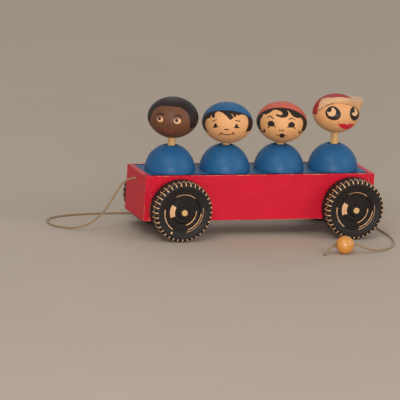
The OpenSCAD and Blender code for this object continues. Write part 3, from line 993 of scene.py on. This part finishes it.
def wheel_turn(points, centre):
    """Radius and angle round the axle, the angle growing from +X towards +Z."""
    x, z = points[:, 0] - centre[0], points[:, 2] - centre[2]
    return np.hypot(x, z), np.arctan2(z, x)


def tread(angle, rho, beside, finish):
    """Distance from the nearest tread rib, or from one of the two studs half way between two ribs.
    Ribs cross the tread and end on the tyre's sides."""
    pitch = TURN / finish.ribs
    off = np.abs((angle + pitch / 2) % pitch - pitch / 2)
    rib = np.maximum(off * rho - finish.rib_width / 2, RIB_FOOT - rho)
    stud = np.hypot((pitch / 2 - off) * rho, np.abs(beside) - STUD_AT) - STUD
    return np.minimum(rib, stud)


def tyre_grid(centre, radius, inner, half, finish):
    """A full, round-shouldered section, cosine and sine to a power, carried round the axle. Ribs and
    studs stand out of it by their height, and plain sides slope in to the disc."""
    core = (radius + inner) / 2
    lean = np.linspace(-math.pi / 2, math.pi / 2, SECTION_STEPS)
    out = np.abs(np.cos(lean)) ** TYRE_POWER
    beside = np.sign(lean) * np.abs(np.sin(lean)) ** TYRE_POWER
    run = np.cumsum(np.hypot((radius - core) * np.diff(out, prepend=0), half * np.diff(beside, prepend=-1)))
    even = np.linspace(0, run[-1], TYRE_ROWS)
    out, beside = (np.interp(even, run, way)[:, None] for way in (out, beside))
    turn = full_turn(finish.ribs * COLUMNS_TO_A_RIB)[None, :]
    edge = tread(turn, core + (radius - core) * out, half * beside, finish)
    sunk = finish.rib_height * np.clip(edge / RIB_SLOPE + 0.5, 0, 1) * (out > 0.05)
    crown = np.stack([core + (radius - core - sunk) * out, (half - 0.3 * sunk) * beside], axis=-1)
    seat = half - DISC_SINK["rim"]
    share = np.linspace(0, 1, SIDE_ROWS, endpoint=False)[:, None] + 0 * turn
    slope = np.stack([inner + (core - inner) * share, seat + (half - seat) * share], axis=-1)
    section = np.concatenate([slope * (1, -1), crown, slope[::-1], slope[:1] * (1, -1)])
    r, y = section[..., 0], section[..., 1]
    return np.stack([r * np.cos(turn), y, r * np.sin(turn)], axis=-1) + centre


def tyre_painted_highlights(points, centre, finish, dotted):
    """Distance from the tyre's cream paint: painted highlights on the ribs and studs of the tread's outer
    half, and a dot.
    """
    rho, angle = wheel_turn(points, centre)
    outward = (points[:, 1] - centre[1]) * np.sign(centre[1])
    painted_highlights = np.maximum(tread(angle, rho, outward, finish), PAINT_FROM - outward)
    if dotted:
        radius, degrees, half = TYRE_DOT
        away = np.abs(rho * np.exp(1j * angle) - radius * np.exp(1j * math.radians(degrees)))
        painted_highlights = np.minimum(painted_highlights, np.maximum(away - half, DOT_FROM - outward))
    return painted_highlights


def disc_profile(half, rim, sense):
    """From hub boss to rim: rings that step down and up again, with soft corners. The back is the
    front in a mirror, and the axle's hole closes the loop. The face has fine steps for its painted
    highlights."""
    bore = size("axle_front")[0] / 2
    front = [(bore, half)]
    height = half
    for at, slope, sink in zip((BOSS, INNER_STEP, OUTER_STEP), STEP_SLOPES, ("inner", "outer", "rim")):
        front.append((at, height))
        height = half - DISC_SINK[sink]
        front.append((at + slope, height))
    front = soften(front + [(rim, height)], STEP_ROUND)
    loop = np.concatenate([fine(front, FACE_STEP), fine(front[::-1] * (1, -1), BACK_STEP), front[:1]])
    return loop * (1, sense)


def beyond(angle, start, end):
    """How far an angle is outside the range from start to end in degrees: below nought inside."""
    mid, span = math.radians((start + end) / 2), math.radians((end - start) / 2)
    return np.abs((angle - mid + math.pi) % TURN - math.pi) - span


def disc_painted_highlights(rho, angle):
    """Distance from the cream painted highlights on a wheel's face: thin arcs with round ends, and a
    broad short piece of a ring."""
    painted_highlights = []
    for radius, start, end, width in DISC_HIGHLIGHT_ARCS:
        along = np.maximum(beyond(angle, start, end), 0) * radius
        painted_highlights.append(np.hypot(rho - radius, along) - width / 2)
    inner, outer, start, end = DISC_HIGHLIGHT_PATCH
    across = np.abs(rho - (inner + outer) / 2) - (outer - inner) / 2
    return all_of(*painted_highlights, np.maximum(across, beyond(angle, start, end) * rho))


class TOY_OT_wheels(bpy.types.Operator):
    """Tyres with their tread and the stepped discs inside them"""

    bl_idname = "toy.wheels"
    bl_label = "Wheels"

    def execute(self, context):
        paint, finish = context.scene.toy_colours, context.scene.toy_finish
        # Cream on the tyres' tread is painted highlight
        tyre_look = rubber("rubber", paint.rubber, paint.cream)
        # The discs' cream layer is painted highlight: thin arcs and a broad patch of a ring
        disc_look = layered_paint("paint_discs_and_highlights", paint.black, {"painted_highlights": paint.cream}, "y")
        for end, hand in product(ENDS, HANDS):
            where, body = end + "_" + hand, end + "_axle_set"
            self.tyre(where, body, tyre_look, finish)
            self.disc(where, body, disc_look, hand == "right")
        return {"FINISHED"}

    def tyre(self, where, body, look, finish):
        node = "tyre_" + where
        centre, extent = middle(node), size(node)
        inner = size("wheel_disc_" + where)[0] / 2
        grid = tyre_grid(centre, extent[0] / 2, inner, extent[1] / 2, finish)
        piece = make_piece(node, "moulded", [grid], look, body, "tyre_rubber", 50)
        dotted = where == "front_left"
        # Painted highlights in cream on the ribs and studs, and a dot on one tyre
        set_distance(piece, "tread", tyre_painted_highlights(mesh_points(piece), centre, finish, dotted))

    def disc(self, where, body, look, far):
        node = "wheel_disc_" + where
        centre, extent = middle(node), size(node)
        sense = 1 if far else -1
        profile = disc_profile(extent[1] / 2, extent[0] / 2, sense)
        grid = lathe(profile, centre, "y", full_turn(DISC_COLUMNS))
        piece = make_piece(node, "painted", [grid], look, body, "black_paint", 60)
        points = mesh_points(piece)
        rho, angle = wheel_turn(points, centre)
        # Cream painted highlights, on the outer face only and mirrored on the far wheels
        painted_highlights = disc_painted_highlights(rho, math.pi - angle if far else angle)
        set_distance(piece, "painted_highlights", np.maximum(painted_highlights, (centre[1] - points[:, 1]) * sense))


AXLE_END_ROUND = 0.8
AXLE_STEP = 4.0
AXLE_COLUMNS = 48


class TOY_OT_axles(bpy.types.Operator):
    """Axles, whose pale ends show in the wheels' hubs"""

    bl_idname = "toy.axles"
    bl_label = "Axles"

    def execute(self, context):
        look = bare_wood("wood_axles", context.scene.toy_colours.wood, "y")
        for end in ENDS:
            node = "axle_" + end
            radius, half = size(node)[:2] / 2
            outline = soften([(0, -half), (radius, -half), (radius, half), (0, half)], AXLE_END_ROUND)
            grid = lathe(fine(outline, AXLE_STEP), middle(node), "y", full_turn(AXLE_COLUMNS))
            make_piece(node, "turned", [grid], look, end + "_axle_set", "bare_wood")
        return {"FINISHED"}


class TOY_OT_gear(bpy.types.Operator):
    """Neck rods, blocks, coupling bars, eccentrics and washers"""

    bl_idname = "toy.gear"
    bl_label = "Rods, bars and washers"

    def execute(self, context):
        paint = context.scene.toy_colours
        upright, lying = bare_wood("wood_rods", paint.wood, "z"), bare_wood("wood_bars", paint.wood, "x")
        specks = (1500, 0.8, 1.15, EVEN, 4.0)
        fibre = stained("fibre", paint.fibre, specks, (700, 0.55, 0.75), specular_ior_level=0.3)
        for k in HEADS:
            keep_solid("neck_rod_%d" % k, upright)
            keep_solid("rod_block_%d" % k, lying)
        for phase in ("outer", "inner"):
            keep_solid("coupling_bar_" + phase, lying)
            for end in ENDS:
                keep_solid("eccentric_%s_%s" % (end, phase), lying)
        for end, hand in product(ENDS, HANDS):
            keep_solid("washer_%s_%s" % (end, hand), fibre)
        return {"FINISHED"}


# Cord, knots and bead

FLOOR = 1.1
CORD_ROUTE = [
    (-129.25, 0, 57.2), (-134.25, 0, 57.2), (-143, 0, 53), (-152, 1, 38), (-162, 3, 21), (-175, 7, 8),
    (-190, 14, 2), (-204, 26, FLOOR), (-208, 44, FLOOR), (-200, 62, FLOOR), (-180, 74, FLOOR),
    (-150, 80, FLOOR), (-115, 82, FLOOR), (-80, 80, FLOOR), (-45, 78, FLOOR), (-10, 79, FLOOR),
    (25, 81, FLOOR), (60, 80, FLOOR), (92, 75, FLOOR), (120, 64, FLOOR), (136, 44, FLOOR),
    (141, 20, FLOOR), (142, -6, FLOOR), (142, -34, FLOOR), (138, -62, FLOOR), (128, -86, FLOOR),
    (112, -102, 1.4), (96, -110, 3), (84, -112, 7), (78.35, -112, 9.5), (73.35, -112, 9.5),
]
CORD_STEP = 0.5
STRANDS = 3
STRAND_DIP = 0.2
NEARLY_UP = (0.02, 0.01, 1.0)
KNOT_TURN = 1.45
KNOT_POINTS = 90
CORD_CREASE = 80
KNOT_BEYOND = 2.0
FIBRES = 14
FIBRE_RADIUS = 0.17
FIBRE_PITCH = 40.0
FIBRE_TURN = 2.4
FIBRE_STEPS = 8
FIBRE_LOWEST = 0.25
BEAD_MOUTH = 0.4
BEAD_LIP = 0.5
BEAD_ROWS = 72
BEAD_COLUMNS = 96


def unit(vectors):
    """Directions: each vector over its own length."""
    return vectors / np.linalg.norm(vectors, axis=-1, keepdims=True)


def way_along(line):
    """Length of a line up to each of its points."""
    return np.concatenate([[0], np.cumsum(np.linalg.norm(np.diff(line, axis=0), axis=1))])


def even_steps(line):
    """The same line with its points about one step apart."""
    line = np.array(line, float)
    run = way_along(line)
    even = np.linspace(0, run[-1], int(run[-1] / CORD_STEP) + 1)
    return np.stack([np.interp(even, run, line[:, k]) for k in range(3)], axis=-1)


def twisted_tube(line, radius, pitch, columns=15, closed=False):
    """A cord of strands: round each point of the line a ring whose radius swells once for each
    strand, and whose swelling turns with the way along the line, once in each pitch."""
    ahead = np.roll(line, -1, axis=0) - np.roll(line, 1, axis=0)
    if not closed:
        ahead[0], ahead[-1] = line[1] - line[0], line[-1] - line[-2]
    ahead = unit(ahead)
    side = unit(np.cross(ahead, NEARLY_UP))
    up = np.cross(side, ahead)
    angle = full_turn(columns)[None, :]
    twist = angle - TURN * way_along(line)[:, None] / pitch
    swell = 1 - STRAND_DIP * (1 - np.abs(np.cos(STRANDS / 2 * twist)))
    out = np.cos(angle)[..., None] * side[:, None] + np.sin(angle)[..., None] * up[:, None]
    tube = line[:, None] + (radius * swell)[..., None] * out
    if closed:
        return np.concatenate([tube, tube[:1]])
    first, last = (np.repeat(line[k][None, None], columns, axis=1) for k in (0, -1))
    return np.concatenate([first, tube, last])


def knot_line(centre):
    """The tight overhand knot is a trefoil: across it a circle gone round once, added to one of
    twice the size gone round twice the other way, and along it a wave of three."""
    t = full_turn(KNOT_POINTS)
    across = np.sin(t) + 2 * np.sin(2 * t), np.cos(t) - 2 * np.cos(2 * t)
    flat = np.stack([-1.6 * np.sin(3 * t), *across], axis=-1)
    return np.array(centre) + flat * KNOT_TURN / 3


class TOY_OT_cord(bpy.types.Operator):
    """The pull cord with its knots, and the bead on its end"""

    bl_idname = "toy.cord"
    bl_label = "Cord and bead"

    def execute(self, context):
        paint, finish = context.scene.toy_colours, context.scene.toy_finish
        look = cotton("cotton", paint.cotton)
        route = smooth_line(CORD_ROUTE, 24)
        line = even_steps(route)
        tube = twisted_tube(line, finish.cord / 2, finish.cord_pitch)
        cord = make_piece("pull_cord", "twisted", [tube], look, "wagon", "cord_cotton", CORD_CREASE)
        inner = self.inner_knot(finish, look)
        bead = self.bead(paint)
        knot = self.bead_knot(finish, look)
        way_along(route)[-1] * MM
        return {"FINISHED"}

    def tied(self, node, knot_at, runs, finish, look, fibres=()):
        """A knot and the runs of cord beside it, as one piece."""
        radius, pitch = finish.cord / 2, finish.cord_pitch
        rings = [twisted_tube(knot_line(knot_at), radius, pitch, closed=True), *fibres]
        rings += [twisted_tube(even_steps(run), radius, pitch) for run in runs]
        return make_piece(node, "tied", rings, look, "wagon", "cord_cotton", CORD_CREASE)

    def inner_knot(self, finish, look):
        """The cord through the front board and the knot behind it."""
        low, high = corners("inner_knot")
        y, z = middle("inner_knot")[1:]
        knot_at = np.array([high[0] - (high - low)[1] / 2, y, z])
        return self.tied("inner_knot", knot_at, [[(low[0], y, z), knot_at]], finish, look)

    def bead_knot(self, finish, look):
        """The cord through the bead, its stop knot and the short frayed end."""
        bead_at, bead_r = middle("pull_bead"), size("pull_bead")[1] / 2
        knot_at = bead_at - (bead_r + KNOT_BEYOND, 0, 0)
        drop = bead_r - FLOOR
        steps = [(0, 0, 0), (-4.2, -1, -0.3 * drop), (-7.8, -3, -0.75 * drop), (-12, -6, -drop)]
        tail = smooth_line(knot_at + np.array(steps), 12)
        runs = [[knot_at, bead_at + (bead_r, 0, 0)], tail]
        fibres = self.frayed_end(even_steps(tail), finish.cord / 2)
        return self.tied("bead_knot", knot_at, runs, finish, look, fibres)

    def frayed_end(self, tail, radius):
        """Loose fibres from the cut end: short arcs that spread from its rim and stay off the floor."""
        ahead = unit(tail[-1] - tail[-3])
        side = unit(np.cross(ahead, (0, 0, 1)))
        up = np.cross(side, ahead)
        share = np.linspace(0, 1, FIBRE_STEPS)[:, None]
        for k in range(FIBRES):
            out = math.cos(FIBRE_TURN * k) * side + math.sin(FIBRE_TURN * k) * up
            reach = 2.4 + 0.9 * math.sin(5.0 * k)
            line = tail[-2] + 0.6 * radius * out + ahead * reach * share + out * 1.1 * share**2
            line[:, 2] = np.maximum(line[:, 2], FIBRE_LOWEST)
            yield twisted_tube(line, FIBRE_RADIUS, FIBRE_PITCH, columns=6)

    def bead(self, paint):
        """A turned ball with a drilled hole, whose mouth is a little wider than the hole."""
        half, radius = size("pull_bead")[:2] / 2
        bore = math.sqrt(radius**2 - half**2)
        mouth = math.asin((bore + BEAD_MOUTH) / radius)
        a = np.linspace(mouth, math.pi - mouth, BEAD_ROWS)
        ball = radius * np.stack([np.sin(a), np.cos(a)], axis=-1)
        hole = [[bore, BEAD_LIP - half], [bore, 0], [bore, half - BEAD_LIP]]
        profile = np.concatenate([ball, hole, ball[:1]])
        grid = lathe(profile, middle("pull_bead"), "x", full_turn(BEAD_COLUMNS))
        look = varnished("bead_varnish", paint.varnish)
        return make_piece("pull_bead", "turned", [grid], look, "wagon", "bead_varnish", 40)


# Floor, lamps and camera

# The picture's side in pixels, and the camera's sensor in millimetres
PICTURE = 400
SENSOR = 36.0
CLIP = (0.1, 200.0)
FLOOR_REACH = 60.0
WORLD_COLOUR = (1.0, 0.985, 0.96, 1)
WORLD_LEVEL = 0.5
LAMPS_AIM = (0, 0, 0.05)
# Place in metres, width and power of each lamp
LAMPS = {
    "key lamp": ((-1.6, -2.2, 2.6), 2.0, 40.0),
    "fill lamp": ((2.4, -2.0, 1.4), 2.2, 26.0),
    "low lamp": ((-0.8, -2.8, 0.25), 1.4, 56.0),
    "back lamp": ((0.6, 2.4, 2.2), 1.6, 5.0),
}


class TOY_OT_stage(bpy.types.Operator):
    """Pale floor, soft lamps and the camera"""

    bl_idname = "toy.stage"
    bl_label = "Stage and camera"

    def execute(self, context):
        scene = context.scene
        scene.view_settings.view_transform = "Standard"
        self.camera(scene)
        self.floor(scene)
        self.world(scene)
        for name, (where, width, power) in LAMPS.items():
            self.lamp(scene, name, where, width, power)
        return {"FINISHED"}

    def camera(self, scene):
        """Looks at the target from its azimuth and elevation, then turns until the target lies on
        its pixel of the picture."""
        view = scene.toy_view
        a, e, roll = (math.radians(angle) for angle in (view.azimuth, view.elevation, view.roll))
        back = Vector((math.sin(a) * math.cos(e), -math.cos(a) * math.cos(e), math.sin(e)))
        right = Vector((math.cos(a), math.sin(a), 0))
        up = back.cross(right)
        turned = right * math.cos(roll) + up * math.sin(roll), up * math.cos(roll) - right * math.sin(roll)
        axes = Matrix((*turned, back)).transposed()
        wanted = Vector((view.across - PICTURE / 2, PICTURE / 2 - view.down, -view.focus))
        pan = Vector((0, 0, -1)).rotation_difference(wanted).to_matrix()
        data = bpy.data.cameras.new("camera")
        data.sensor_width = SENSOR
        data.lens = view.focus / PICTURE * SENSOR
        data.clip_start, data.clip_end = CLIP
        camera = bpy.data.objects.new("camera", data)
        place_at = Vector(view.target) + back * view.distance
        camera.matrix_world = Matrix.Translation(place_at) @ (axes @ pan.transposed()).to_4x4()
        scene.collection.objects.link(camera)
        scene.camera = camera

    def floor(self, scene):
        mesh = bpy.data.meshes.new("floor")
        corner_signs = ((-1, -1), (1, -1), (1, 1), (-1, 1))
        points = [(x * FLOOR_REACH, y * FLOOR_REACH, 0) for x, y in corner_signs]
        mesh.from_pydata(points, [], [(0, 1, 2, 3)])
        shine = {"roughness": 0.7, "specular_ior_level": 0.2}
        mesh.materials.append(stained("floor", scene.toy_colours.floor, (9, 0.985, 1.015), **shine))
        floor = bpy.data.objects.new("floor", mesh)
        scene.collection.objects.link(floor)

    def world(self, scene):
        scene.world = bpy.data.worlds.new("soft light")
        scene.world.use_nodes = True
        background = scene.world.node_tree.nodes["Background"]
        background.inputs["Color"].default_value = WORLD_COLOUR
        background.inputs["Strength"].default_value = WORLD_LEVEL

    def lamp(self, scene, name, where, width, power):
        data = bpy.data.lights.new(name, "AREA")
        data.shape = "DISK"
        data.size = width
        data.energy = power
        lamp = bpy.data.objects.new(name, data)
        lamp.location = where
        lamp.rotation_euler = (Vector(LAMPS_AIM) - lamp.location).to_track_quat("-Z", "Y").to_euler()
        scene.collection.objects.link(lamp)


OPERATORS = (
    TOY_OT_stage,
    TOY_OT_cord,
    TOY_OT_boards,
    TOY_OT_brads,
    TOY_OT_domes,
    TOY_OT_heads,
    TOY_OT_peak,
    TOY_OT_wheels,
    TOY_OT_axles,
    TOY_OT_gear,
)
GROUPS = {"toy_colours": ToyColours, "toy_finish": ToyFinish, "toy_view": ToyView}


class TOY_PT_panel(bpy.types.Panel):
    """The toy's pieces and what can be changed about them"""

    bl_idname = "TOY_PT_panel"
    bl_label = "Pull toy"
    bl_space_type = "VIEW_3D"
    bl_region_type = "UI"
    bl_category = "Pull toy"

    def draw(self, context):
        for operator in OPERATORS:
            self.layout.operator(operator.bl_idname)
        for name, group in GROUPS.items():
            box = self.layout.box()
            for key in group.__annotations__:
                box.prop(getattr(context.scene, name), key)


CLASSES = (*GROUPS.values(), *OPERATORS, TOY_PT_panel)


def register():
    for each in CLASSES:
        bpy.utils.register_class(each)
    for name, group in GROUPS.items():
        setattr(bpy.types.Scene, name, bpy.props.PointerProperty(type=group))


def unregister():
    for name in GROUPS:
        delattr(bpy.types.Scene, name)
    for each in reversed(CLASSES):
        bpy.utils.unregister_class(each)


def main():
    register()
    for operator in OPERATORS:
        group, name = operator.bl_idname.split(".")
        getattr(getattr(bpy.ops, group), name)()


if __name__ == "__main__":
    main()
